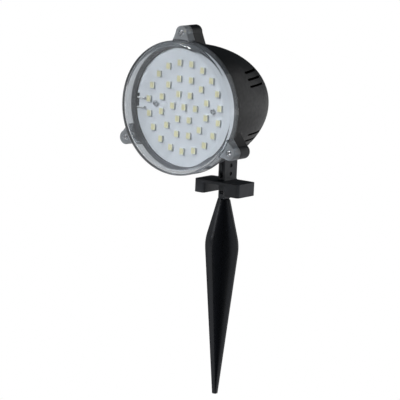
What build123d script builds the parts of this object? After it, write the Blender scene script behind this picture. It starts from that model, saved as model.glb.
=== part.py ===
from build123d import *
import os
from math import asin, cos, degrees, hypot, radians, sin, sqrt

# Garden floodlight on a ground stake. Millimetres, +Z up. The origin is on the stake's axis at
# ground level, where the two pads of the foot rest on the soil. The lamp faces -Y, and X is to
# the right for someone who looks into the lamp.

# ---- clearances
running_gap = 0.05          # radial, between a pin and the hole that turns on it
press_gap = 0.01            # radial, round a pin that is pressed into its hole
side_gap = 0.30             # between faces that slide past each other at the tilt hinge
seat_gap = 0.05             # between parts that are screwed or snapped together
drop_in_gap = 0.40          # round a part that drops into its recess
tang_gap = 0.15             # between the stake's tang and its socket

# ---- housing
dome_above_pivot = 2.6      # dome's lowest line above the tilt pivot
flange_y = -73.2            # plane where the clear cover meets the housing
dome_radius = 61.6
dome_length = 111.4
housing_wall = 2.6
flange_lip = 3.4            # flange outside the dome
flange_thickness = 3.0
flange_slope = 2.0
rear_flat_depth = 2.4       # the dome's tip is cut flat by this much for the cable gland
rear_pad_thickness = 5.0    # wall left in front of that flat

# ---- clear cover
cover_depth = 16.6
cover_wall = 2.8
cover_window = 2.4
cover_rim_radius = 5.0
lug_reach = 7.2             # lug screws outside the flange's edge
lug_radius = 7.0
lug_root_half = 13.0
lug_thickness = 9.6
lug_edge = 1.0
lug_count = 3
lug_start = 90
boss_depth = 17.2           # housing boss behind each lug
boss_end_radius = 3.0

# ---- screws and inserts
screw_radius = 1.5
screw_free_gap = 0.25       # radial, round a screw in a part that it clamps
screw_head_radius = 2.8
screw_head_height = 2.0
screw_recess_depth = 1.0
screw_end_room = 2.0
cover_screw_length = 15.0
board_screw_length = 8.0
driver_screw_length = 8.0
insert_wall = 0.8
insert_length = 7.0

# ---- gasket
gasket_width = 1.6
gasket_height = 1.5

# ---- LED board
mouth_wall = 6.6            # from the board's recess out to the flange's edge
board_thickness = 1.6
board_recess = 1.7          # board face behind the flange plane
ledge_width = 2.9
ledge_depth = 3.6
board_screw_inset = 23.6    # board screws inside the board's edge
pillar_radius = 4.2
pillar_length = 36.0
pillar_rib = 2.4
led_rings = ((1, 0.0, 0.0), (6, 13.8, 0.0), (12, 27.8, 14.5), (19, 42.9, 4.7))
led_width = 5.2
led_height = 6.2
led_thickness = 1.4
led_frame = 0.35            # white frame left round the phosphor window
led_window_depth = 0.5
wire_radius = 0.7
wire_bend = 1.8
wire_levels = (3.2, -6.0)   # the two leads, above and below the lamp axis
wire_pad_inset = 10.5       # solder pads inside the board's edge
solder_radius = 1.6
notch_width = 16.0          # notch that lets the leads round the board's edge
notch_depth = 3.1

# ---- driver in its case
case_width = 60.0
case_height = 36.0
case_depth = 24.0
case_wall = 1.8
case_setback = 40.0         # case front behind the flange plane
ear_length = 10.0
ear_width = 9.0
ear_thickness = 2.5
lid_lip = 1.2
driver_board_thickness = 1.6
driver_board_lift = 4.0
standoff_radius = 2.5
standoff_inset = 4.0
post_radius = 4.0
lead_exit_depth = 10.0      # lead holes behind the case front
lead_out = 8.0
lead_room = 2.4             # at least, between the leads and the board's pillars
lead_bend = 5.0
mains_hole_radius = 1.4
transformer_width = 20.0
transformer_height = 18.0
transformer_depth = 13.0
transformer_leg = 3.0
capacitors = ((18.0, 6.0, 5.0, 13.5), (18.0, -7.0, 4.0, 12.0))
capacitor_edge = 0.6
chips = ((-20.0, 8.0, 9.0, 6.0, 2.6), (-20.0, -1.0, 6.0, 5.0, 1.8), (-20.0, -9.0, 10.0, 4.0, 8.0))
terminal_width = 18.0
terminal_height = 12.0
terminal_depth = 10.0
terminal_pitch = 9.0
terminal_way_radius = 1.6
terminal_screw_radius = 1.5

# ---- cooling slots, level, in a group of three above and below the lamp axis on each side
vent_count = 3
vent_first = 23.3
vent_pitch = 6.3
vent_width = 2.0
vent_setback = 32.5         # front end of the slots behind the flange plane
vent_length = 34.0
vent_inner_x = 15.0

# ---- cable gland
gland_thread_radius = 6.0
gland_flange_radius = 9.0
gland_flange_thickness = 3.0
gland_outer_length = 8.0
gland_bore = 3.6
gland_nut_radius = 8.6
gland_nut_length = 11.0
gland_nut_end = 2.0
seal_outer = 4.9
seal_bore = 3.0
seal_length = 6.0
seal_nose = 3.5             # radius of the seal's two ends, in the body's bore and the nut's mouth
seal_tail_length = 1.0
locknut_radius = 9.0
locknut_thickness = 4.0

# ---- tilt hinge
neck_thickness = 7.8
neck_front_y = -6.4
pivot_above_plate = 14.7
stop_pin_drop = 8.2         # stop pin below the pivot
pivot_pin_radius = 2.1
stop_pin_radius = 1.9
pin_recess = 1.0
cheek_thickness = 2.2
cheek_crown = 1.65          # the cheek's round top is this much larger than half its depth
tongue_wall = 1.3           # left outside the stop pin's slot
tongue_neck = 17.0
horn_start = 8.0            # full neck thickness starts this far above the pivot
tilt_up = 60.0              # degrees, lamp turned to the sky
tilt_down = 15.0            # degrees, lamp turned to the ground
washer_radius = 5.6
washer_thickness = 0.7

# ---- foot
foot_width = 54.0
foot_depth = 29.0
foot_height = 13.5
plate_thickness = 3.0
pad_width = 12.0            # left pad
block_width = 19.0          # right pad, which reaches almost to the hub
pad_wall = 2.2
pad_corner = 3.0
neck_fillet = 1.5
hub_width = 7.9
hub_depth = 9.7
hub_drop = 5.0              # hub end below the pads' underside
hub_wall = 1.4
socket_length = 13.0
window_width = 4.4
window_height = 2.7
window_rise = 5.2           # window's lower edge above the hub end

# ---- stake
stake_length = 204.0        # ground level to tip
stake_fin = 3.8
stake_top_half = 6.6
stake_shoulder_half = 20.3
stake_shoulder_drop = 45.0  # hub end to the widest place
stake_shoulder_radius = 40.0
stake_tip_half = 2.4
catch_width = 3.6
catch_height = 1.9
catch_depth = 1.0

# ---- worked-out places
pivot_z = foot_height + pivot_above_plate
lamp_height = pivot_z + dome_above_pivot + dome_radius
lamp_axis = Axis((0, 0, lamp_height), (0, 1, 0))
flange_radius = dome_radius + flange_lip
lug_pitch_radius = flange_radius + lug_reach
screw_hole_radius = screw_radius + screw_free_gap
insert_radius = screw_radius + insert_wall
cover_front_y = flange_y - cover_depth
lug_face_y = flange_y - lug_thickness
board_face_y = flange_y + board_recess
board_back_y = board_face_y + board_thickness
mouth_radius = flange_radius - mouth_wall
board_radius = mouth_radius - drop_in_gap
board_screw_x = board_radius - board_screw_inset
wire_pad_x = wire_pad_inset - board_radius
ledge_radius = mouth_radius - ledge_width
notch_inner = board_radius - notch_depth
cavity_radius = dome_radius - housing_wall
cavity_length = dome_length - housing_wall
rear_flat_y = flange_y + dome_length - rear_flat_depth
cavity_end_y = rear_flat_y - rear_pad_thickness
gasket_middle = flange_radius - cover_wall / 2
insert_hole = insert_radius + seat_gap
vent_levels = [side * (vent_first + step * vent_pitch) for side in (-1, 1) for step in range(vent_count)]
case_front_y = flange_y + case_setback
case_back_y = case_front_y + case_depth
case_inner_width = case_width - 2 * case_wall
case_inner_height = case_height - 2 * case_wall
post_level = case_height / 2 + ear_length / 2
driver_board_y = case_back_y - case_wall - driver_board_lift - driver_board_thickness
lead_exit_y = case_front_y + lead_exit_depth
gland_end_y = rear_flat_y + gland_flange_thickness + gland_outer_length
gland_nut_y = rear_flat_y + gland_flange_thickness + side_gap
seal_front_y = gland_end_y - seal_length - seal_tail_length
seal_back_y = gland_nut_y + gland_nut_length - side_gap
neck_depth = foot_depth / 2 - neck_front_y      # the neck's back is flush with the foot's
pivot_y = neck_front_y + neck_depth / 2
cheek_radius = neck_depth / 2 + cheek_crown
tongue_thickness = neck_thickness - 2 * cheek_thickness - 2 * side_gap
tongue_radius = stop_pin_drop + stop_pin_radius + running_gap + tongue_wall
hub_end_z = -hub_drop
socket_width = hub_width - 2 * hub_wall
socket_depth = hub_depth - 2 * hub_wall
window_z = hub_end_z + window_rise + window_height / 2


def facing(y):
    """Plane on the lamp axis at this Y, seen from the front: x to the right, y up."""
    return Plane(origin=(0, y, lamp_height), x_dir=(1, 0, 0), z_dir=(0, -1, 0))


def height_on_ellipse(y, length, radius):
    """Radius of the dome, or of its cavity, at this Y."""
    return radius * sqrt(1 - ((y - flange_y) / length) ** 2)


def dome_arc(length, radius, rear_radius, front_radius):
    """Elliptical outline of the dome from its rear radius forward to its front radius."""
    rear_angle = degrees(asin(rear_radius / radius))
    front_angle = degrees(asin(front_radius / radius))
    return EllipticalCenterArc(
        (flange_y, lamp_height),
        length,
        radius,
        start_angle=rear_angle,
        arc_size=front_angle - rear_angle,
    )


def pan_screw(length):
    """Pan-head screw with a cross recess: seat at Z=0, head up, shank down."""
    with BuildPart(mode=Mode.PRIVATE) as screw:
        with BuildSketch(Plane.XY):
            Circle(screw_head_radius)
        extrude(amount=screw_head_height)
        fillet(screw.edges().group_by(Axis.Z)[-1], screw_head_height * 0.6)
        with BuildSketch(Plane.XY.offset(screw_head_height)):
            Rectangle(screw_head_radius * 1.2, screw_head_radius * 0.3)
            Rectangle(screw_head_radius * 0.3, screw_head_radius * 1.2)
        extrude(amount=-screw_recess_depth, mode=Mode.SUBTRACT)
        with BuildSketch(Plane.XY):
            Circle(screw_radius)
        extrude(amount=-length)
        chamfer(screw.edges().group_by(Axis.Z)[0], screw_radius * 0.3)
    return screw.part


def brass_insert(length):
    """Threaded insert with a waist: mouth at Z=0, body down."""
    with BuildPart(mode=Mode.PRIVATE) as insert:
        with BuildSketch(Plane.XY):
            Circle(insert_radius)
            Circle(screw_radius + seat_gap, mode=Mode.SUBTRACT)
        extrude(amount=-length)
        with BuildSketch(Plane.XY.offset(-length * 0.45)):
            Circle(insert_radius)
            Circle(insert_radius * 0.88, mode=Mode.SUBTRACT)
        extrude(amount=-length * 0.12, mode=Mode.SUBTRACT)
    return insert.part


def lug_shape(depth, corner, end):
    """Three lugs from Z=0 up: round end on the screw, wide root, one end face (0 or -1) rounded."""
    with BuildPart(mode=Mode.PRIVATE) as lugs:
        with BuildSketch():
            with PolarLocations(0, lug_count, start_angle=lug_start):
                with Locations((lug_pitch_radius, 0)):
                    Circle(lug_radius)
                Polygon(
                    (lug_pitch_radius, lug_radius),
                    (flange_radius - lug_radius, lug_root_half),
                    (flange_radius - lug_radius, -lug_root_half),
                    (lug_pitch_radius, -lug_radius),
                    align=None,
                )
        extrude(amount=depth)
        end_edges = lugs.faces().filter_by(Axis.Z).group_by(Axis.Z)[end].edges()
        fillet(end_edges.filter_by(lambda edge: hypot(edge.center().X, edge.center().Y)
                                   > flange_radius - lug_radius + 1), corner)
    return lugs.part


# ================================================================ housing
# The hollow of the dome, less the pillars and posts that stay inside it.
with BuildPart() as cavity:
    ledge_y = board_back_y + ledge_depth
    flare_y = ledge_y + ledge_width
    flare_radius = height_on_ellipse(flare_y, cavity_length, cavity_radius)
    end_radius = height_on_ellipse(cavity_end_y, cavity_length, cavity_radius)
    with BuildSketch(Plane.YZ):
        with BuildLine():
            Polyline(
                (cavity_end_y, lamp_height + end_radius),
                (cavity_end_y, lamp_height),
                (flange_y, lamp_height),
                (flange_y, lamp_height + mouth_radius),
                (board_back_y, lamp_height + mouth_radius),
                (board_back_y, lamp_height + ledge_radius),
                (ledge_y, lamp_height + ledge_radius),
                (flare_y, lamp_height + flare_radius),
            )
            dome_arc(cavity_length, cavity_radius, end_radius, flare_radius)
        make_face()
    revolve(axis=lamp_axis)
    with BuildSketch(facing(board_back_y)):
        with Locations((-(mouth_radius + notch_inner) / 2, 0)):
            Rectangle(mouth_radius - notch_inner, notch_width)
    extrude(amount=-(flare_y - board_back_y))
    # pillars for the board's screws, each with a rib to the side wall
    for side in (-1, 1):
        with BuildSketch(facing(board_back_y)):
            with Locations((side * board_screw_x, 0)):
                Circle(pillar_radius)
            with Locations((side * (board_screw_x + dome_radius) / 2, 0)):
                Rectangle(dome_radius - board_screw_x, pillar_rib)
        extrude(amount=-pillar_length, mode=Mode.SUBTRACT)
        with BuildSketch(facing(board_back_y)):
            with Locations((side * board_screw_x, 0)):
                Circle(insert_hole)
        extrude(amount=-(board_screw_length + screw_end_room))
    # posts for the driver case, standing on the rear wall
    for side in (-1, 1):
        with BuildSketch(facing(case_back_y)):
            with Locations((0, side * post_level)):
                Circle(post_radius)
        extrude(amount=-(cavity_end_y - case_back_y), mode=Mode.SUBTRACT)
        with BuildSketch(facing(case_back_y)):
            with Locations((0, side * post_level)):
                Circle(screw_radius + seat_gap)
        extrude(amount=-driver_screw_length)

# Curved slot that the stop pin runs in, as the lamp tilts.
with BuildLine() as stop_path:
    CenterArc((pivot_y, pivot_z), stop_pin_drop, -90 - tilt_down, tilt_down + tilt_up)

with BuildPart() as rear_housing:
    with BuildSketch(Plane.YZ):
        with BuildLine():
            slope_end_y = flange_y + flange_thickness + flange_slope
            slope_radius = height_on_ellipse(slope_end_y, dome_length, dome_radius)
            flat_radius = height_on_ellipse(rear_flat_y, dome_length, dome_radius)
            Polyline(
                (rear_flat_y, lamp_height + flat_radius),
                (rear_flat_y, lamp_height),
                (flange_y, lamp_height),
                (flange_y, lamp_height + flange_radius),
                (flange_y + flange_thickness, lamp_height + flange_radius),
                (slope_end_y, lamp_height + slope_radius),
            )
            dome_arc(dome_length, dome_radius, flat_radius, slope_radius)
        make_face()
    revolve(axis=lamp_axis)
    # screw bosses behind the cover's lugs
    with Locations(Plane(origin=(0, flange_y, lamp_height), x_dir=(-1, 0, 0), z_dir=(0, 1, 0))):
        add(lug_shape(boss_depth, boss_end_radius, -1))
    # neck: full thickness outside the hinge's circle, a thin tongue inside it
    with BuildSketch(Plane.YZ):
        with Locations((pivot_y, (pivot_z + lamp_height) / 2)):
            Rectangle(neck_depth, lamp_height - pivot_z)
        with Locations((pivot_y, pivot_z)):
            Circle(cheek_radius + side_gap, mode=Mode.SUBTRACT)
            Rectangle(2 * neck_depth, 2 * horn_start, mode=Mode.SUBTRACT)
    extrude(amount=neck_thickness / 2, both=True)
    with BuildSketch(Plane.YZ):
        with Locations((pivot_y, pivot_z)):
            Circle(tongue_radius)
        with Locations((pivot_y, (pivot_z + lamp_height) / 2)):
            Rectangle(tongue_neck, lamp_height - pivot_z)
    extrude(amount=tongue_thickness / 2, both=True)
    add(cavity.part, mode=Mode.SUBTRACT)
    with BuildSketch(Plane.YZ):
        with Locations((pivot_y, pivot_z)):
            Circle(pivot_pin_radius + running_gap)
        SlotArc(stop_path.wires()[0], 2 * (stop_pin_radius + running_gap))
    extrude(amount=neck_thickness, both=True, mode=Mode.SUBTRACT)
    with BuildSketch(facing(flange_y)):
        Circle(gasket_middle + gasket_width / 2)
        Circle(gasket_middle - gasket_width / 2, mode=Mode.SUBTRACT)
    extrude(amount=-gasket_height, mode=Mode.SUBTRACT)
    with BuildSketch(facing(flange_y)):
        with PolarLocations(lug_pitch_radius, lug_count, start_angle=lug_start):
            Circle(insert_hole)
    extrude(amount=-(insert_length + screw_end_room), mode=Mode.SUBTRACT)
    for side in (-1, 1):
        with BuildSketch(Plane.YZ.offset(side * vent_inner_x)):
            for level in vent_levels:
                with Locations((flange_y + vent_setback + vent_length / 2, lamp_height + level)):
                    SlotOverall(vent_length, vent_width)
        extrude(amount=side * dome_radius, mode=Mode.SUBTRACT)
    with BuildSketch(facing(rear_flat_y)):
        Circle(gland_thread_radius + seat_gap)
    extrude(amount=rear_pad_thickness, mode=Mode.SUBTRACT)
rear_housing.part.label = "rear_housing"

# ================================================================ clear cover and its fixings
with BuildPart() as clear_cover:
    with BuildSketch(Plane.YZ):
        with BuildLine():
            outer = lamp_height + flange_radius
            inner = outer - cover_wall
            window_y = cover_front_y + cover_window
            FilletPolyline(
                (cover_front_y, lamp_height),
                (cover_front_y, outer),
                (flange_y, outer),
                radius=cover_rim_radius,
            )
            Line((flange_y, outer), (flange_y, inner))
            FilletPolyline(
                (flange_y, inner),
                (window_y, inner),
                (window_y, lamp_height),
                radius=cover_rim_radius - cover_window / 2,
            )
            Line((window_y, lamp_height), (cover_front_y, lamp_height))
        make_face()
    revolve(axis=lamp_axis)
    with Locations(Plane(origin=(0, lug_face_y, lamp_height), x_dir=(-1, 0, 0), z_dir=(0, 1, 0))):
        add(lug_shape(lug_thickness, lug_edge, 0))
    with BuildSketch(facing(flange_y)):
        Circle(inner - lamp_height)
    extrude(amount=lug_thickness, mode=Mode.SUBTRACT)
    with BuildSketch(facing(lug_face_y)):
        with PolarLocations(lug_pitch_radius, lug_count, start_angle=lug_start):
            Circle(screw_head_radius + drop_in_gap)
    extrude(amount=-screw_head_height, mode=Mode.SUBTRACT)
    with BuildSketch(facing(lug_face_y)):
        with PolarLocations(lug_pitch_radius, lug_count, start_angle=lug_start):
            Circle(screw_hole_radius)
    extrude(amount=-lug_thickness, mode=Mode.SUBTRACT)
clear_cover.part.label = "clear_cover"

with BuildPart() as cover_gasket:
    with BuildSketch(facing(flange_y)):
        Circle(gasket_middle + gasket_width / 2 - seat_gap)
        Circle(gasket_middle - gasket_width / 2 + seat_gap, mode=Mode.SUBTRACT)
    extrude(amount=-gasket_height)
cover_gasket.part.label = "cover_gasket"

cover_screw = pan_screw(cover_screw_length)
with BuildPart() as cover_screws:
    with Locations(facing(lug_face_y + screw_head_height)):
        with PolarLocations(lug_pitch_radius, lug_count, start_angle=lug_start):
            add(cover_screw)
cover_screws.part.label = "cover_screws"

boss_insert = brass_insert(insert_length)
with BuildPart() as cover_inserts:
    with Locations(facing(flange_y)):
        with PolarLocations(lug_pitch_radius, lug_count, start_angle=lug_start):
            add(boss_insert)
cover_inserts.part.label = "cover_inserts"

# ================================================================ LED board
board_screw_places = [(-board_screw_x, 0), (board_screw_x, 0)]
led_places = [
    (radius * cos(radians(start + step * 360 / count)),
     radius * sin(radians(start + step * 360 / count)))
    for count, radius, start in led_rings
    for step in range(count)
]

with BuildPart() as led_board:
    with BuildSketch(facing(board_back_y)):
        Circle(board_radius)
        with Locations((-board_radius, 0)):
            Rectangle(2 * notch_depth, notch_width - 2 * drop_in_gap, mode=Mode.SUBTRACT)
        with Locations(*board_screw_places):
            Circle(screw_hole_radius, mode=Mode.SUBTRACT)
    extrude(amount=board_thickness)
led_board.part.label = "led_board"

with BuildPart() as led_packages:
    with BuildSketch(facing(board_face_y)):
        with Locations(*led_places):
            Rectangle(led_width, led_height)
    extrude(amount=led_thickness)
    with BuildSketch(facing(board_face_y - led_thickness)):
        with Locations(*led_places):
            RectangleRounded(led_width - 2 * led_frame, led_height - 2 * led_frame, led_frame)
    extrude(amount=-led_window_depth, mode=Mode.SUBTRACT)
led_packages.part.label = "led_packages"

with BuildPart() as led_phosphors:
    with BuildSketch(facing(board_face_y - led_thickness + led_window_depth)):
        with Locations(*led_places):
            RectangleRounded(led_width - 2 * led_frame, led_height - 2 * led_frame, led_frame)
    extrude(amount=led_window_depth)
led_phosphors.part.label = "led_phosphors"

board_screw = pan_screw(board_screw_length)
with BuildPart() as board_screws:
    with Locations(facing(board_face_y)):
        with Locations(*board_screw_places):
            add(board_screw)
board_screws.part.label = "board_screws"

board_insert = brass_insert(board_screw_length - board_thickness)
with BuildPart() as board_inserts:
    with Locations(facing(board_back_y)):
        with Locations(*board_screw_places):
            add(board_insert)
board_inserts.part.label = "board_inserts"

# ================================================================ driver in its own case
with BuildPart() as driver_case:
    with BuildSketch(facing(case_back_y)):
        RectangleRounded(case_width, case_height, 2 * case_wall)
    extrude(amount=case_depth - case_wall)
    with BuildSketch(facing(case_back_y)):
        Rectangle(ear_width, case_height + 2 * ear_length)
    extrude(amount=ear_thickness)
    with BuildSketch(facing(case_back_y - case_wall)):
        RectangleRounded(case_inner_width, case_inner_height, case_wall)
    extrude(amount=case_depth, mode=Mode.SUBTRACT)
    with BuildSketch(facing(case_back_y - case_wall)):
        with GridLocations(case_inner_width - 2 * standoff_inset,
                           case_inner_height - 2 * standoff_inset, 2, 2):
            Circle(standoff_radius)
    extrude(amount=driver_board_lift)
    with BuildSketch(facing(case_back_y)):
        with Locations((0, -post_level), (0, post_level)):
            Circle(screw_hole_radius)
        with Locations((-terminal_pitch / 2, 0), (terminal_pitch / 2, 0)):
            Circle(mains_hole_radius)
    extrude(amount=ear_thickness, mode=Mode.SUBTRACT)
    with BuildSketch(Plane.YZ.offset(-case_width / 2)):
        for level in wire_levels:
            with Locations((lead_exit_y, lamp_height + level)):
                Circle(wire_radius + running_gap)
    extrude(amount=case_wall, mode=Mode.SUBTRACT)
driver_case.part.label = "driver_case"

with BuildPart() as driver_lid:
    with BuildSketch(facing(case_front_y + case_wall)):
        RectangleRounded(case_width, case_height, 2 * case_wall)
    extrude(amount=case_wall)
    with BuildSketch(facing(case_front_y + case_wall)):
        lip_width = case_inner_width - 2 * seat_gap
        lip_height = case_inner_height - 2 * seat_gap
        RectangleRounded(lip_width, lip_height, case_wall)
        RectangleRounded(lip_width - 2 * lid_lip, lip_height - 2 * lid_lip, case_wall / 2,
                         mode=Mode.SUBTRACT)
    extrude(amount=-2 * lid_lip)
driver_lid.part.label = "driver_lid"

with BuildPart() as driver_board:
    with BuildSketch(facing(driver_board_y + driver_board_thickness)):
        RectangleRounded(case_inner_width - 2 * drop_in_gap, case_inner_height - 2 * drop_in_gap,
                         case_wall)
    extrude(amount=driver_board_thickness)
driver_board.part.label = "driver_board"

leg_places = [(-transformer_width / 4, 0), (transformer_width / 4, 0)]
window_size = (transformer_width / 2 - transformer_leg, transformer_height - 2 * transformer_leg)
with BuildPart() as transformer_core:
    with BuildSketch(facing(driver_board_y)):
        Rectangle(transformer_width, transformer_height)
        with Locations(*leg_places):
            Rectangle(*window_size, mode=Mode.SUBTRACT)
    extrude(amount=transformer_depth)
transformer_core.part.label = "transformer_core"

with BuildPart() as transformer_windings:
    with BuildSketch(facing(driver_board_y)):
        with Locations(*leg_places):
            RectangleRounded(window_size[0] - 2 * seat_gap, window_size[1] - 2 * seat_gap,
                             transformer_leg / 2)
    extrude(amount=transformer_depth - transformer_leg / 2)
transformer_windings.part.label = "transformer_windings"

with BuildPart() as driver_capacitors:
    for x, z, radius, height in capacitors:
        with BuildSketch(facing(driver_board_y)):
            with Locations((x, z)):
                Circle(radius)
        extrude(amount=height)
        fillet(driver_capacitors.faces(Select.LAST).sort_by(Axis.Y)[0].edges(), capacitor_edge)
driver_capacitors.part.label = "driver_capacitors"

with BuildPart() as driver_chips:
    for x, z, width, height, thickness in chips:
        with BuildSketch(facing(driver_board_y)):
            with Locations((x, z)):
                Rectangle(width, height)
        extrude(amount=thickness)
driver_chips.part.label = "driver_chips"

driver_screw = pan_screw(driver_screw_length)
with BuildPart() as driver_screws:
    with Locations(facing(case_back_y - ear_thickness)):
        with Locations((0, -post_level), (0, post_level)):
            add(driver_screw)
driver_screws.part.label = "driver_screws"

terminal_y = case_back_y + terminal_depth / 2
terminal_places = [(-terminal_pitch / 2, 0), (terminal_pitch / 2, 0)]
with BuildPart() as terminal_block:
    with BuildSketch(facing(case_back_y + terminal_depth)):
        Rectangle(terminal_width, terminal_height)
        with Locations(*terminal_places):
            Circle(terminal_way_radius, mode=Mode.SUBTRACT)
    extrude(amount=terminal_depth)
    with BuildSketch(Plane(origin=(0, terminal_y, lamp_height + terminal_height / 2))):
        with Locations(*terminal_places):
            Circle(terminal_screw_radius + seat_gap)
    extrude(amount=-terminal_height / 2, mode=Mode.SUBTRACT)
terminal_block.part.label = "terminal_block"

with BuildPart() as terminal_screws:
    with BuildSketch(Plane(origin=(0, terminal_y, lamp_height + terminal_way_radius))):
        with Locations(*terminal_places):
            Circle(terminal_screw_radius)
    extrude(amount=terminal_height / 4)
    with BuildSketch(Plane(origin=(0, terminal_y, lamp_height + terminal_way_radius
                                   + terminal_height / 4))):
        with Locations(*terminal_places):
            Rectangle(3 * terminal_screw_radius, terminal_screw_radius / 3)
    extrude(amount=-terminal_screw_radius / 2, mode=Mode.SUBTRACT)
terminal_screws.part.label = "terminal_screws"

# Leads from the driver case to the solder joints, round the notched edge of the board.
lead_edge_x = -(notch_inner + wire_radius + wire_bend * 0.8)
lead_turn_x = -max(case_width / 2 + lead_out, board_screw_x + pillar_radius + lead_room)
lead_face_y = board_face_y - wire_radius - running_gap
with BuildPart() as lead_wires:
    for level in wire_levels:
        z = lamp_height + level
        start = (-case_width / 2 + case_wall / 2, lead_exit_y, z)
        with BuildLine():
            FilletPolyline(
                start,
                (lead_turn_x, lead_exit_y, z),
                (lead_edge_x, board_back_y + lead_out, z),
                (lead_edge_x, lead_face_y, z),
                (wire_pad_x - solder_radius, lead_face_y, z),
                radius=(lead_bend, lead_bend, wire_bend),
            )
        with BuildSketch(Plane(origin=start, x_dir=(0, 1, 0), z_dir=(-1, 0, 0))):
            Circle(wire_radius)
        sweep()
lead_wires.part.label = "lead_wires"

with BuildPart() as solder_joints:
    with Locations(*[(wire_pad_x, board_face_y, lamp_height + level) for level in wire_levels]):
        Sphere(solder_radius)
    split(bisect_by=Plane(origin=(0, board_face_y, 0), z_dir=(0, -1, 0)), keep=Keep.TOP)
solder_joints.part.label = "solder_joints"

# ================================================================ cable gland
with BuildPart() as gland_body:
    with BuildSketch(facing(rear_flat_y)):
        RegularPolygon(gland_flange_radius, 6)
    extrude(amount=-gland_flange_thickness)
    with BuildSketch(facing(gland_end_y)):
        Circle(gland_thread_radius)
    extrude(amount=gland_end_y - cavity_end_y + locknut_thickness + 1)
    with BuildSketch(facing(gland_end_y)):
        Circle(gland_bore)
    extrude(amount=gland_end_y - cavity_end_y + locknut_thickness + 1, mode=Mode.SUBTRACT)
    with BuildSketch(facing(gland_end_y)):
        Circle(seal_outer + seat_gap)
    extrude(amount=seal_length, mode=Mode.SUBTRACT)
gland_body.part.label = "gland_body"

with BuildPart() as gland_seal:
    with BuildSketch(facing(gland_end_y)):
        Circle(seal_outer)
    extrude(amount=seal_length)
    with BuildSketch(facing(seal_back_y)):
        Circle(seal_nose)
    extrude(amount=seal_back_y - seal_front_y)
    with BuildSketch(facing(seal_back_y)):
        Circle(seal_bore)
    extrude(amount=seal_back_y - seal_front_y, mode=Mode.SUBTRACT)
gland_seal.part.label = "gland_seal"

with BuildPart() as gland_nut:
    with BuildSketch(facing(gland_nut_y)):
        RegularPolygon(gland_nut_radius, 6)
    extrude(amount=-gland_nut_length)
    chamfer(gland_nut.faces().sort_by(Axis.Y)[-1].edges(), gland_nut_end * 0.6)
    with BuildSketch(facing(gland_nut_y)):
        Circle(gland_thread_radius + seat_gap)
    extrude(amount=-(gland_nut_length - gland_nut_end), mode=Mode.SUBTRACT)
    with BuildSketch(facing(gland_nut_y)):
        Circle(gland_bore)
    extrude(amount=-gland_nut_length, mode=Mode.SUBTRACT)
gland_nut.part.label = "gland_nut"

with BuildPart() as gland_locknut:
    with BuildSketch(facing(cavity_end_y)):
        RegularPolygon(locknut_radius, 6)
        Circle(gland_thread_radius + seat_gap, mode=Mode.SUBTRACT)
    extrude(amount=locknut_thickness)
gland_locknut.part.label = "gland_locknut"

# ================================================================ foot with the hinge's fork
with BuildPart() as foot_bar:
    with BuildSketch(Plane.XY.offset(foot_height - plate_thickness)):
        RectangleRounded(foot_width, foot_depth, pad_corner)
    extrude(amount=plate_thickness)
    for side, width in ((-1, pad_width), (1, block_width)):
        with BuildSketch(Plane.XY):
            with Locations((side * (foot_width - width) / 2, 0)):
                RectangleRounded(width, foot_depth, pad_corner)
                RectangleRounded(width - 2 * pad_wall, foot_depth - 2 * pad_wall,
                                 pad_corner / 2, mode=Mode.SUBTRACT)
                Rectangle(width - pad_wall, pad_wall)
        extrude(amount=foot_height - plate_thickness)
    with BuildSketch(Plane.XY.offset(hub_end_z)):
        Rectangle(hub_width, hub_depth)
    extrude(amount=foot_height - hub_end_z)
    # fork: two cheeks with round tops, joined just above the plate
    with BuildSketch(Plane.YZ):
        with Locations((pivot_y, pivot_z)):
            Rectangle(neck_depth, 2 * pivot_above_plate)
            Circle(cheek_radius, mode=Mode.INTERSECT)
        with Locations((pivot_y, (foot_height + pivot_z) / 2)):
            Rectangle(neck_depth, pivot_above_plate)
    extrude(amount=neck_thickness / 2, both=True)
    neck_root = foot_bar.edges().filter_by(
        lambda edge: abs(edge.center().Z - foot_height) < seat_gap
        and abs(edge.center().X) < neck_thickness
        and abs(edge.center().Y) < foot_depth / 2 - seat_gap)
    fillet(neck_root, neck_fillet)
    with BuildSketch(Plane.YZ):
        with Locations((pivot_y, pivot_z + neck_depth - tongue_radius - side_gap)):
            Rectangle(2 * neck_depth, 2 * neck_depth)
    extrude(amount=tongue_thickness / 2 + side_gap, both=True, mode=Mode.SUBTRACT)
    with BuildSketch(Plane.YZ):
        with Locations((pivot_y, pivot_z)):
            Circle(washer_radius + seat_gap)
    extrude(amount=tongue_thickness / 2 + running_gap + washer_thickness, both=True,
            mode=Mode.SUBTRACT)
    with BuildSketch(Plane.YZ):
        with Locations((pivot_y, pivot_z)):
            Circle(pivot_pin_radius + press_gap)
        with Locations((pivot_y, pivot_z - stop_pin_drop)):
            Circle(stop_pin_radius + press_gap)
    extrude(amount=neck_thickness, both=True, mode=Mode.SUBTRACT)
    # socket for the stake, open below, with the catch's window in front
    with BuildSketch(Plane.XY.offset(hub_end_z)):
        Rectangle(socket_width, socket_depth)
    extrude(amount=socket_length, mode=Mode.SUBTRACT)
    with BuildSketch(Plane.XZ.offset(hub_depth / 2)):
        with Locations((0, window_z)):
            Rectangle(window_width, window_height)
    extrude(amount=-hub_wall, mode=Mode.SUBTRACT)
foot_bar.part.label = "foot_bar"

pin_half = neck_thickness / 2 - pin_recess
with BuildPart() as pivot_pin:
    with BuildSketch(Plane.YZ):
        with Locations((pivot_y, pivot_z)):
            Circle(pivot_pin_radius)
    extrude(amount=pin_half, both=True)
    chamfer(pivot_pin.edges().filter_by(GeomType.CIRCLE), running_gap * 4)
pivot_pin.part.label = "pivot_pin"

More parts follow.
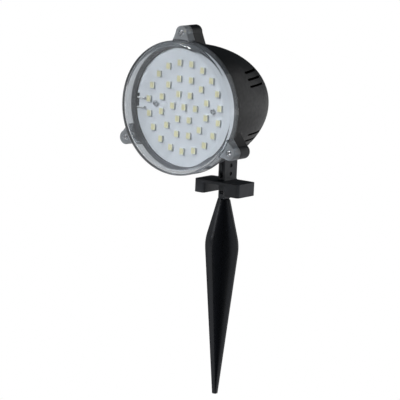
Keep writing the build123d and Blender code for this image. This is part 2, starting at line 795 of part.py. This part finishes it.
with BuildPart() as stop_pin:
    with BuildSketch(Plane.YZ):
        with Locations((pivot_y, pivot_z - stop_pin_drop)):
            Circle(stop_pin_radius)
    extrude(amount=pin_half, both=True)
    chamfer(stop_pin.edges().filter_by(GeomType.CIRCLE), running_gap * 4)
stop_pin.part.label = "stop_pin"

with BuildPart() as friction_washers:
    for side in (-1, 1):
        with BuildSketch(Plane.YZ.offset(side * (tongue_thickness / 2 + running_gap))):
            with Locations((pivot_y, pivot_z)):
                Circle(washer_radius)
                Circle(pivot_pin_radius + seat_gap, mode=Mode.SUBTRACT)
        extrude(amount=side * washer_thickness)
friction_washers.part.label = "friction_washers"

# ================================================================ stake
with BuildPart() as stake:
    for fin_plane in (Plane.XZ, Plane.YZ):
        with BuildSketch(fin_plane):
            with BuildLine():
                FilletPolyline(
                    (stake_top_half, hub_end_z),
                    (stake_shoulder_half, hub_end_z - stake_shoulder_drop),
                    (stake_tip_half, -stake_length),
                    radius=stake_shoulder_radius,
                )
                Line((stake_tip_half, -stake_length), (0, -stake_length))
                Line((0, hub_end_z), (stake_top_half, hub_end_z))
                mirror(about=Plane.YZ)
            make_face()
        extrude(amount=stake_fin / 2, both=True)
    tang_length = socket_length - seat_gap
    with BuildSketch(Plane.XY.offset(hub_end_z)):
        Rectangle(socket_width - 2 * tang_gap, socket_depth - 2 * tang_gap)
    extrude(amount=tang_length)
    chamfer(stake.faces().sort_by(Axis.Z)[-1].edges(), tang_gap * 4)
    with BuildSketch(Plane.XZ.offset(socket_depth / 2 - tang_gap)):
        with Locations((0, window_z)):
            Rectangle(catch_width, catch_height)
    extrude(amount=catch_depth)
stake.part.label = "stake"

# ================================================================ files
os.makedirs("parts", exist_ok=True)
export_step(rear_housing.part, "parts/rear_housing.step")
export_step(clear_cover.part, "parts/clear_cover.step")
export_step(cover_gasket.part, "parts/cover_gasket.step")
export_step(cover_screws.part, "parts/cover_screws.step")
export_step(cover_inserts.part, "parts/cover_inserts.step")
export_step(led_board.part, "parts/led_board.step")
export_step(led_packages.part, "parts/led_packages.step")
export_step(led_phosphors.part, "parts/led_phosphors.step")
export_step(board_screws.part, "parts/board_screws.step")
export_step(board_inserts.part, "parts/board_inserts.step")
export_step(driver_case.part, "parts/driver_case.step")
export_step(driver_lid.part, "parts/driver_lid.step")
export_step(driver_board.part, "parts/driver_board.step")
export_step(transformer_core.part, "parts/transformer_core.step")
export_step(transformer_windings.part, "parts/transformer_windings.step")
export_step(driver_capacitors.part, "parts/driver_capacitors.step")
export_step(driver_chips.part, "parts/driver_chips.step")
export_step(driver_screws.part, "parts/driver_screws.step")
export_step(terminal_block.part, "parts/terminal_block.step")
export_step(terminal_screws.part, "parts/terminal_screws.step")
export_step(lead_wires.part, "parts/lead_wires.step")
export_step(solder_joints.part, "parts/solder_joints.step")
export_step(gland_body.part, "parts/gland_body.step")
export_step(gland_seal.part, "parts/gland_seal.step")
export_step(gland_nut.part, "parts/gland_nut.step")
export_step(gland_locknut.part, "parts/gland_locknut.step")
export_step(foot_bar.part, "parts/foot_bar.step")
export_step(pivot_pin.part, "parts/pivot_pin.step")
export_step(stop_pin.part, "parts/stop_pin.step")
export_step(friction_washers.part, "parts/friction_washers.step")
export_step(stake.part, "parts/stake.step")
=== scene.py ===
from math import cos, pi, radians, sin

import bmesh
import bpy
from bpy.props import FloatProperty, FloatVectorProperty, PointerProperty
from mathutils import Matrix, Vector


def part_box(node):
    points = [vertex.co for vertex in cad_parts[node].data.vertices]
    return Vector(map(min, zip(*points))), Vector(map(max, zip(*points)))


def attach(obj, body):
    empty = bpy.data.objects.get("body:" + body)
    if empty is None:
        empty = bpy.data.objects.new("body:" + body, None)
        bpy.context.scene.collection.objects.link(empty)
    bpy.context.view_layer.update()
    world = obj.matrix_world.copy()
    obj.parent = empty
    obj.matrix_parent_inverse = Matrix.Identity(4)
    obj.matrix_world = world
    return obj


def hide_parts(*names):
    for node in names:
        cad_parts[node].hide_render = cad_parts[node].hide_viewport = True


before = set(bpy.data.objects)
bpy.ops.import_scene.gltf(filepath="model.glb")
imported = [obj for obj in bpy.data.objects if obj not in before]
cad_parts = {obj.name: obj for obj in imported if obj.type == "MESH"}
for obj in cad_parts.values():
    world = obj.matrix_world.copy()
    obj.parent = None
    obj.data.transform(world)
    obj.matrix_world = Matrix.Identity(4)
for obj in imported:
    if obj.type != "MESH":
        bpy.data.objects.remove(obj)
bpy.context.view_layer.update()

# Garden floodlight on a ground stake. Metres, +Z up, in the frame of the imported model. The lamp
# faces -Y, and the stake stands on the Z axis.

bl_info = {
    "name": "Ground stake floodlight",
    "version": (1, 0, 0),
    "blender": (4, 5, 0),
    "location": "View3D > Sidebar > Floodlight",
    "description": "Builds a garden floodlight on a ground stake, its finishes and its studio",
    "category": "Object",
}

mm = 0.001
board_low, board_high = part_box("led_board")
stake_low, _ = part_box("stake")
axis_z = (board_low.z + board_high.z) / 2       # height of the lamp's axis
weld = 0.002 * mm                               # joins the loose corners of a CAD mesh
flat = radians(0.4)                             # faces that turn less than this are one flat
sharp = radians(40)                             # edges that turn more than this are rounded
window_edge = (57.5 * mm, 60 * mm)              # where the cover's window turns into its wall
lug_root = (65.5 * mm, 67 * mm)                 # where its wall turns into the screw lugs
painted_light_band = (44 * mm, 60 * mm)                   # heights over which the foot's painted light fades out
floor_half = 14.0
floor_gap = 0.5 * mm                            # floor below the stake's tip


# ---------------------------------------------------------------- sizes and colours
class LampSizes(bpy.types.PropertyGroup):
    edge: FloatProperty(name="Edge rounding", description="Rounding on moulded edges",
                        default=0.35 * mm, unit="LENGTH")
    fin_edge: FloatProperty(name="Fin rounding", description="Rounding on the stake's fins",
                            default=0.7 * mm, unit="LENGTH")


class FinishColours(bpy.types.PropertyGroup):
    housing: FloatVectorProperty(name="Housing", description="Black moulded plastic",
                                 default=(0.0125, 0.0135, 0.0155), subtype="COLOR")
    stake: FloatVectorProperty(name="Stake", description="Black plastic of the stake",
                               default=(0.012, 0.0145, 0.020), subtype="COLOR")
    cover: FloatVectorProperty(name="Cover", description="Clear plastic tint",
                               default=(0.93, 0.955, 0.98), subtype="COLOR")
    board: FloatVectorProperty(name="Board", description="White solder mask",
                               default=(0.80, 0.82, 0.84), subtype="COLOR")
    phosphor: FloatVectorProperty(name="Phosphor", description="Unlit LED phosphor",
                                  default=(0.88, 0.82, 0.48), subtype="COLOR")


class StudioSettings(bpy.types.PropertyGroup):
    azimuth: FloatProperty(name="Camera azimuth", description="Round the object from its front",
                           default=radians(36.36), subtype="ANGLE")
    elevation: FloatProperty(name="Camera elevation", description="Above the horizon",
                             default=radians(10.02), subtype="ANGLE")
    roll: FloatProperty(name="Camera roll", description="Lean of the picture",
                        default=radians(2.64), subtype="ANGLE")
    distance: FloatProperty(name="Camera distance", description="From the point it looks at",
                            default=2.4493, unit="LENGTH")
    aim: FloatVectorProperty(name="Aim", description="Point that the camera looks at",
                             default=(0.0, -0.040, -0.002), unit="LENGTH")
    lens: FloatProperty(name="Lens", description="Focal length in millimetres", default=225.4)
    room: FloatProperty(name="Room light", description="Light from all sides", default=0.04)
    key: FloatProperty(name="Key", description="Brightness of the small lamp at upper left",
                       default=52.0)
    key_place: FloatVectorProperty(name="Key place", default=(-1.5, -2.3, 1.8), unit="LENGTH",
                                   description="Middle of the key light")
    key_size: FloatProperty(name="Key size", description="Side of the key light", default=0.5,
                            unit="LENGTH")
    side: FloatProperty(name="Side", description="Brightness of the large box on the right",
                        default=0.62)
    side_place: FloatVectorProperty(name="Side place", default=(1.3, 1.9, 0.2), unit="LENGTH",
                                    description="Middle of the side light")
    side_size: FloatProperty(name="Side size", description="Side of the side light",
                             default=2.6, unit="LENGTH")
    front: FloatProperty(name="Front", description="Brightness of the box in front", default=0.15)
    front_place: FloatVectorProperty(name="Front place", default=(-1.5, -2.0, 0.0), unit="LENGTH",
                                     description="Middle of the front light")
    front_size: FloatProperty(name="Front size", description="Side of the front light",
                              default=1.5, unit="LENGTH")


# ---------------------------------------------------------------- finishes
def node_of(tree, kind, **values):
    """A shader node with its sockets or settings given by name."""
    node = tree.nodes.new(kind)
    for key, value in values.items():
        if key in node.inputs:
            node.inputs[key].default_value = value
        else:
            setattr(node, key, value)
    return node


def blank_finish(name):
    """A material with only its Principled shader, and the object's own coordinates."""
    material = bpy.data.materials.get("lamp_" + name)
    if material:
        return material, None, None, None
    material = bpy.data.materials.new("lamp_" + name)
    material.use_nodes = True
    tree = material.node_tree
    shader = next(n for n in tree.nodes if n.type == "BSDF_PRINCIPLED")
    return material, tree, shader, node_of(tree, "ShaderNodeTexCoord").outputs["Object"]


def noise(tree, coordinates, scale, detail=3.0, roughness=0.55):
    """Value of a noise pattern with cells 1/scale metres wide."""
    node = node_of(tree, "ShaderNodeTexNoise", Scale=scale, Detail=detail, Roughness=roughness)
    tree.links.new(coordinates, node.inputs["Vector"])
    return node.outputs["Fac"]


def spread(tree, value, low, high, from_low=0.3, from_high=0.7):
    """A value stretched from one range to another."""
    node = node_of(tree, "ShaderNodeMapRange")
    for key, number in (("From Min", from_low), ("From Max", from_high),
                        ("To Min", low), ("To Max", high)):
        node.inputs[key].default_value = number
    tree.links.new(value, node.inputs["Value"])
    return node.outputs["Result"]


def two_tone(tree, factor, first, second):
    """A colour between two, by a factor from 0 to 1."""
    node = node_of(tree, "ShaderNodeMix", data_type="RGBA")
    node.inputs[6].default_value = (*first, 1)
    node.inputs[7].default_value = (*second, 1)
    tree.links.new(factor, node.inputs[0])
    return node.outputs[2]


def relief(tree, shader, height, depth):
    """Raises the surface by a height pattern, in metres."""
    node = node_of(tree, "ShaderNodeBump", Strength=1.0, Distance=depth)
    tree.links.new(height, node.inputs["Height"])
    tree.links.new(node.outputs["Normal"], shader.inputs["Normal"])


def moulded(name, colour, tone=0.15, cloud=90, rough=(0.38, 0.5), grain=2600, depth=0.02 * mm,
            painted_light_gain=1.0, **sockets):
    """Moulded or cast finish: faint clouding, uneven gloss, a fine grain, and painted light that
    makes the foot paler.
    """
    material, tree, shader, place = blank_finish(name)
    if tree is None:
        return material
    clouds = spread(tree, noise(tree, place, cloud, 4.0), 0.0, 1.0)
    tint = two_tone(tree, clouds, [c * (1 - tone) for c in colour],
                    [c * (1 + tone) for c in colour])
    # painted light: below a set height the base colour is scaled up, standing in for the light that
    # falls on the foot's faces
    if painted_light_gain != 1.0:
        parts = node_of(tree, "ShaderNodeSeparateXYZ")
        gain = node_of(tree, "ShaderNodeVectorMath", operation="SCALE")
        tree.links.new(place, parts.inputs[0])
        tree.links.new(tint, gain.inputs[0])
        tree.links.new(spread(tree, parts.outputs["Z"], painted_light_gain, 1.0, *painted_light_band),
                       gain.inputs["Scale"])
        tint = gain.outputs[0]
    tree.links.new(tint, shader.inputs["Base Color"])
    tree.links.new(spread(tree, noise(tree, place, cloud * 3, 5.0), *rough),
                   shader.inputs["Roughness"])
    relief(tree, shader, noise(tree, place, grain, 2.0), depth)
    for key, value in sockets.items():
        shader.inputs[key.replace("_", " ")].default_value = value
    return material


def clear_plastic(colour):
    """Clear moulded cover: faintly milky, and light passes to what it shuts in."""
    material, tree, shader, place = blank_finish("clear_plastic")
    if tree is None:
        return material
    shader.inputs["Base Color"].default_value = (*colour, 1)
    shader.inputs["Transmission Weight"].default_value = 1.0
    shader.inputs["IOR"].default_value = 1.49
    tree.links.new(spread(tree, noise(tree, place, 60), 0.0, 0.035), shader.inputs["Roughness"])
    relief(tree, shader, noise(tree, place, 45, 1.0), 0.03 * mm)
    through = node_of(tree, "ShaderNodeBsdfTransparent", Color=(*colour, 1))
    path = node_of(tree, "ShaderNodeLightPath")
    mix = node_of(tree, "ShaderNodeMixShader")
    out = next(n for n in tree.nodes if n.type == "OUTPUT_MATERIAL")
    milk = node_of(tree, "ShaderNodeBsdfDiffuse", Color=(0.90, 0.95, 1.0, 1))
    milky = node_of(tree, "ShaderNodeMixShader")
    from_axis = node_of(tree, "ShaderNodeVectorMath", operation="SUBTRACT")
    from_axis.inputs[1].default_value = (0, 0, axis_z)
    across = node_of(tree, "ShaderNodeVectorMath", operation="MULTIPLY")
    across.inputs[1].default_value = (1, 0, 1)
    radius = node_of(tree, "ShaderNodeVectorMath", operation="LENGTH")
    tree.links.new(place, from_axis.inputs[0])
    tree.links.new(from_axis.outputs[0], across.inputs[0])
    tree.links.new(across.outputs[0], radius.inputs[0])
    wall = spread(tree, radius.outputs["Value"], 0.03, 0.08, *window_edge)
    lugs = spread(tree, radius.outputs["Value"], 1.0, 6.0, *lug_root)
    cloudy = node_of(tree, "ShaderNodeMath", operation="MULTIPLY")
    tree.links.new(wall, cloudy.inputs[0])
    tree.links.new(lugs, cloudy.inputs[1])
    tree.links.new(cloudy.outputs[0], milky.inputs[0])
    tree.links.new(shader.outputs[0], milky.inputs[1])
    tree.links.new(milk.outputs[0], milky.inputs[2])
    tree.links.new(path.outputs["Is Shadow Ray"], mix.inputs[0])
    tree.links.new(milky.outputs[0], mix.inputs[1])
    tree.links.new(through.outputs[0], mix.inputs[2])
    tree.links.new(mix.outputs[0], out.inputs["Surface"])
    return material


def looked_at(tree, straight, bent):
    """Brightness for what is seen by the camera, and for what is seen in or through a surface."""
    path = node_of(tree, "ShaderNodeLightPath")
    first = node_of(tree, "ShaderNodeMath", operation="LESS_THAN")
    tree.links.new(path.outputs["Diffuse Depth"], first.inputs[0])
    first.inputs[1].default_value = 0.5
    return first.outputs[0], spread(tree, path.outputs["Is Camera Ray"], bent, straight, 0.0, 1.0)


def floor_finish():
    """Pale paper: bright to the eye and in reflections, and a soft grey to what stands on it."""
    material, tree, shader, place = blank_finish("floor_paper")
    shader.inputs["Base Color"].default_value = (0.16, 0.16, 0.165, 1)
    shader.inputs["Roughness"].default_value = 0.9
    seen, strength = looked_at(tree, 1.0, 0.5)
    glow = node_of(tree, "ShaderNodeEmission", Color=(1, 1, 1, 1))
    tree.links.new(strength, glow.inputs["Strength"])
    mix = node_of(tree, "ShaderNodeMixShader")
    out = next(n for n in tree.nodes if n.type == "OUTPUT_MATERIAL")
    tree.links.new(seen, mix.inputs[0])
    tree.links.new(shader.outputs[0], mix.inputs[1])
    tree.links.new(glow.outputs[0], mix.inputs[2])
    tree.links.new(mix.outputs[0], out.inputs["Surface"])
    return material


def finishes():
    """Every finish by its name."""
    colour = bpy.context.scene.finish_colours
    return {
        # painted light: the black plastic's foot gets up to six times its base colour
        "black_plastic": moulded("black_plastic", colour.housing, painted_light_gain=6.0),
        "stake_plastic": moulded("stake_plastic", colour.stake, rough=(0.26, 0.36), depth=0.006 * mm),
        "clear_plastic": clear_plastic(colour.cover),
        "black_rubber": moulded("black_rubber", (0.02, 0.02, 0.02), rough=(0.7, 0.85)),
        "white_board": moulded("white_board", colour.board, tone=0.03, rough=(0.35, 0.45)),
        "led_body": moulded("led_body", (0.86, 0.85, 0.80), tone=0.03, rough=(0.4, 0.5)),
        "led_phosphor": moulded("led_phosphor", colour.phosphor, tone=0.08, rough=(0.25, 0.35)),
        "steel_zinc": moulded("steel_zinc", (0.62, 0.63, 0.65), rough=(0.22, 0.36), Metallic=1.0),
        "dark_steel": moulded("dark_steel", (0.012, 0.012, 0.013), rough=(0.45, 0.6)),
        "brass": moulded("brass", (0.70, 0.52, 0.22), rough=(0.25, 0.4), Metallic=1.0),
        "solder": moulded("solder", (0.66, 0.66, 0.67), rough=(0.2, 0.35), Metallic=1.0),
        "wire_insulation": moulded("wire_insulation", (0.70, 0.70, 0.68), rough=(0.4, 0.5)),
        "grey_plastic": moulded("grey_plastic", (0.25, 0.25, 0.26)),
        "green_board": moulded("green_board", (0.03, 0.16, 0.06)),
        "ferrite": moulded("ferrite", (0.05, 0.05, 0.055), rough=(0.5, 0.7)),
        "winding_tape": moulded("winding_tape", (0.75, 0.60, 0.12), rough=(0.3, 0.4)),
        "capacitor_sleeve": moulded("capacitor_sleeve", (0.03, 0.05, 0.16), rough=(0.25, 0.35)),
        "chip_plastic": moulded("chip_plastic", (0.03, 0.03, 0.03), rough=(0.5, 0.6)),
        "white_plastic": moulded("white_plastic", (0.8, 0.8, 0.78)),
        "gland_plastic": moulded("gland_plastic", (0.018, 0.018, 0.02), rough=(0.4, 0.55)),
        "nylon": moulded("nylon", (0.72, 0.70, 0.64), rough=(0.4, 0.5)),
    }


# ---------------------------------------------------------------- making pieces
def add_piece(name, bm, body, slot, node, angle=32):
    """Ends a mesh as a finished piece that rides on a body and replaces its CAD node."""
    mesh = bpy.data.meshes.new(name)
    bm.to_mesh(mesh)
    bm.free()
    mesh.polygons.foreach_set("use_smooth", [True] * len(mesh.polygons))
    mesh.set_sharp_from_angle(angle=radians(angle))
    mesh.materials.append(finishes()[slot])
    piece = bpy.data.objects.new(name, mesh)
    bpy.context.scene.collection.objects.link(piece)
    even = piece.modifiers.new("even_normals", "WEIGHTED_NORMAL")
    even.keep_sharp = True
    even.weight = 90
    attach(piece, body)
    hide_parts(node)


def merged_copy(node, edge=0.0):
    """The CAD node's mesh with its loose triangles joined, flat faces whole and edges rounded."""
    bm = bmesh.new()
    bm.from_mesh(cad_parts[node].data)
    bmesh.ops.remove_doubles(bm, verts=bm.verts, dist=weld)
    bmesh.ops.dissolve_limit(bm, angle_limit=flat, verts=bm.verts, edges=bm.edges)
    if edge:
        outer = [e for e in bm.edges if len(e.link_faces) == 2
                 and e.calc_face_angle_signed(0.0) > sharp]
        bmesh.ops.bevel(bm, geom=outer, offset=edge, offset_type="OFFSET", segments=2,
                        profile=0.5, affect="EDGES", clamp_overlap=False, material=-1)
    return bm


def paint(node, slot):
    """Gives a CAD node that stays its finish."""
    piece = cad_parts[node]
    piece.data.materials.clear()
    piece.data.materials.append(finishes()[slot])


def copies(body, table, edge=0.0):
    """Finished pieces made from CAD nodes, each with its slot."""
    for node, slot in table:
        add_piece(node + "_piece", merged_copy(node, edge), body, slot, node)


class LAMP_OT_housing(bpy.types.Operator):
    """Black dome, its flange, screw bosses and neck"""
    bl_idname = "lamp.housing"
    bl_label = "Housing"

    def execute(self, context):
        copies("head", [("rear_housing", "black_plastic")])
        return {"FINISHED"}


class LAMP_OT_cover(bpy.types.Operator):
    """Clear cover with its three screws and gasket"""
    bl_idname = "lamp.cover"
    bl_label = "Clear cover"

    def execute(self, context):
        copies("head", [("clear_cover", "clear_plastic"), ("cover_screws", "steel_zinc"),
                        ("cover_gasket", "black_rubber"), ("cover_inserts", "brass")])
        return {"FINISHED"}


class LAMP_OT_board(bpy.types.Operator):
    """LED board with its LEDs, screws and leads"""
    bl_idname = "lamp.board"
    bl_label = "LED board"

    def execute(self, context):
        copies("head", [("led_board", "white_board"), ("led_packages", "led_body"),
                        ("led_phosphors", "led_phosphor"), ("board_screws", "steel_zinc"),
                        ("lead_wires", "wire_insulation"), ("solder_joints", "solder")])
        return {"FINISHED"}


class LAMP_OT_inside(bpy.types.Operator):
    """Driver and the other parts shut inside the housing"""
    bl_idname = "lamp.inside"
    bl_label = "Inner parts"

    def execute(self, context):
        for node, slot in (("board_inserts", "brass"), ("driver_case", "grey_plastic"),
                           ("driver_lid", "grey_plastic"), ("driver_board", "green_board"),
                           ("transformer_core", "ferrite"), ("transformer_windings", "winding_tape"),
                           ("driver_capacitors", "capacitor_sleeve"),
                           ("driver_chips", "chip_plastic"), ("driver_screws", "steel_zinc"),
                           ("terminal_block", "white_plastic"), ("terminal_screws", "steel_zinc"),
                           ("gland_locknut", "gland_plastic")):
            paint(node, slot)
        return {"FINISHED"}


class LAMP_OT_gland(bpy.types.Operator):
    """Cable gland at the dome's rear"""
    bl_idname = "lamp.gland"
    bl_label = "Cable gland"

    def execute(self, context):
        copies("head", [("gland_body", "gland_plastic"), ("gland_nut", "gland_plastic"),
                        ("gland_seal", "black_rubber")], context.scene.lamp_sizes.edge)
        return {"FINISHED"}


class LAMP_OT_foot(bpy.types.Operator):
    """Foot bar with the hinge's fork, pins and washers"""
    bl_idname = "lamp.foot"
    bl_label = "Foot and hinge"

    def execute(self, context):
        copies("foot", [("foot_bar", "black_plastic")], context.scene.lamp_sizes.edge)
        copies("foot", [("pivot_pin", "dark_steel"),
                        ("stop_pin", "dark_steel"), ("friction_washers", "nylon")])
        return {"FINISHED"}


class LAMP_OT_stake(bpy.types.Operator):
    """Crossed-fin ground stake"""
    bl_idname = "lamp.stake"
    bl_label = "Stake"

    def execute(self, context):
        copies("foot", [("stake", "stake_plastic")], context.scene.lamp_sizes.fin_edge)
        return {"FINISHED"}


class LAMP_OT_studio(bpy.types.Operator):
    """Pale floor, soft lights and the camera"""
    bl_idname = "lamp.studio"
    bl_label = "Studio"

    def execute(self, context):
        scene = context.scene
        studio = scene.studio_settings
        bm = bmesh.new()
        bmesh.ops.create_grid(bm, x_segments=1, y_segments=1, size=floor_half)
        bmesh.ops.translate(bm, verts=bm.verts, vec=(0, 0, stake_low.z - floor_gap))
        mesh = bpy.data.meshes.new("floor")
        bm.to_mesh(mesh)
        bm.free()
        floor = bpy.data.objects.new("floor", mesh)
        scene.collection.objects.link(floor)
        mesh.materials.append(floor_finish())

        world = bpy.data.worlds.new("studio")
        scene.world = world
        world.use_nodes = True
        background = next(n for n in world.node_tree.nodes if n.type == "BACKGROUND")
        background.inputs["Color"].default_value = (0.80, 0.90, 1.0, 1)
        background.inputs["Strength"].default_value = studio.room

        for name, place, size, brightness in (
                ("key", studio.key_place, studio.key_size, studio.key),
                ("side", studio.side_place, studio.side_size, studio.side),
                ("front", studio.front_place, studio.front_size, studio.front)):
            lamp = bpy.data.lights.new(name, "AREA")
            lamp.shape = "SQUARE"
            lamp.size = size
            lamp.energy = brightness * pi * size * size
            light = bpy.data.objects.new(name, lamp)
            scene.collection.objects.link(light)
            light.location = place
            light.visible_camera = False
            light.visible_transmission = False
            light.rotation_euler = Vector(place).to_track_quat("Z", "Y").to_euler()

        camera = bpy.data.objects.new("camera", bpy.data.cameras.new("camera"))
        scene.collection.objects.link(camera)
        camera.data.lens = studio.lens
        camera.data.sensor_width = 36.0
        camera.data.clip_start = 0.05
        camera.data.clip_end = 60
        turn, tip = studio.azimuth, studio.elevation
        ahead = Vector((-sin(turn) * cos(tip), cos(turn) * cos(tip), -sin(tip)))
        right = Vector((cos(turn), sin(turn), 0))
        up = right.cross(ahead)
        right, up = (right * cos(studio.roll) + up * sin(studio.roll),
                     up * cos(studio.roll) - right * sin(studio.roll))
        place = Matrix((right, up, -ahead)).transposed().to_4x4()
        place.translation = Vector(studio.aim) - ahead * studio.distance
        camera.matrix_world = place
        scene.camera = camera
        scene.view_settings.view_transform = "Standard"
        return {"FINISHED"}


class LAMP_PT_panel(bpy.types.Panel):
    """Lists the pieces that make the floodlight"""
    bl_label = "Floodlight"
    bl_idname = "LAMP_PT_panel"
    bl_space_type = "VIEW_3D"
    bl_region_type = "UI"
    bl_category = "Floodlight"

    def draw(self, context):
        for operator in operators:
            self.layout.operator(operator.bl_idname)


operators = (LAMP_OT_housing, LAMP_OT_cover, LAMP_OT_board, LAMP_OT_inside, LAMP_OT_gland,
             LAMP_OT_foot, LAMP_OT_stake, LAMP_OT_studio)
classes = (LampSizes, FinishColours, StudioSettings, *operators, LAMP_PT_panel)


def register():
    for item in classes:
        bpy.utils.register_class(item)
    bpy.types.Scene.lamp_sizes = PointerProperty(type=LampSizes)
    bpy.types.Scene.finish_colours = PointerProperty(type=FinishColours)
    bpy.types.Scene.studio_settings = PointerProperty(type=StudioSettings)


def unregister():
    del bpy.types.Scene.studio_settings
    del bpy.types.Scene.finish_colours
    del bpy.types.Scene.lamp_sizes
    for item in reversed(classes):
        bpy.utils.unregister_class(item)


def main():
    register()
    bpy.ops.lamp.housing()
    bpy.ops.lamp.cover()
    bpy.ops.lamp.board()
    bpy.ops.lamp.inside()
    bpy.ops.lamp.gland()
    bpy.ops.lamp.foot()
    bpy.ops.lamp.stake()
    bpy.ops.lamp.studio()


if __name__ == "__main__":
    main()
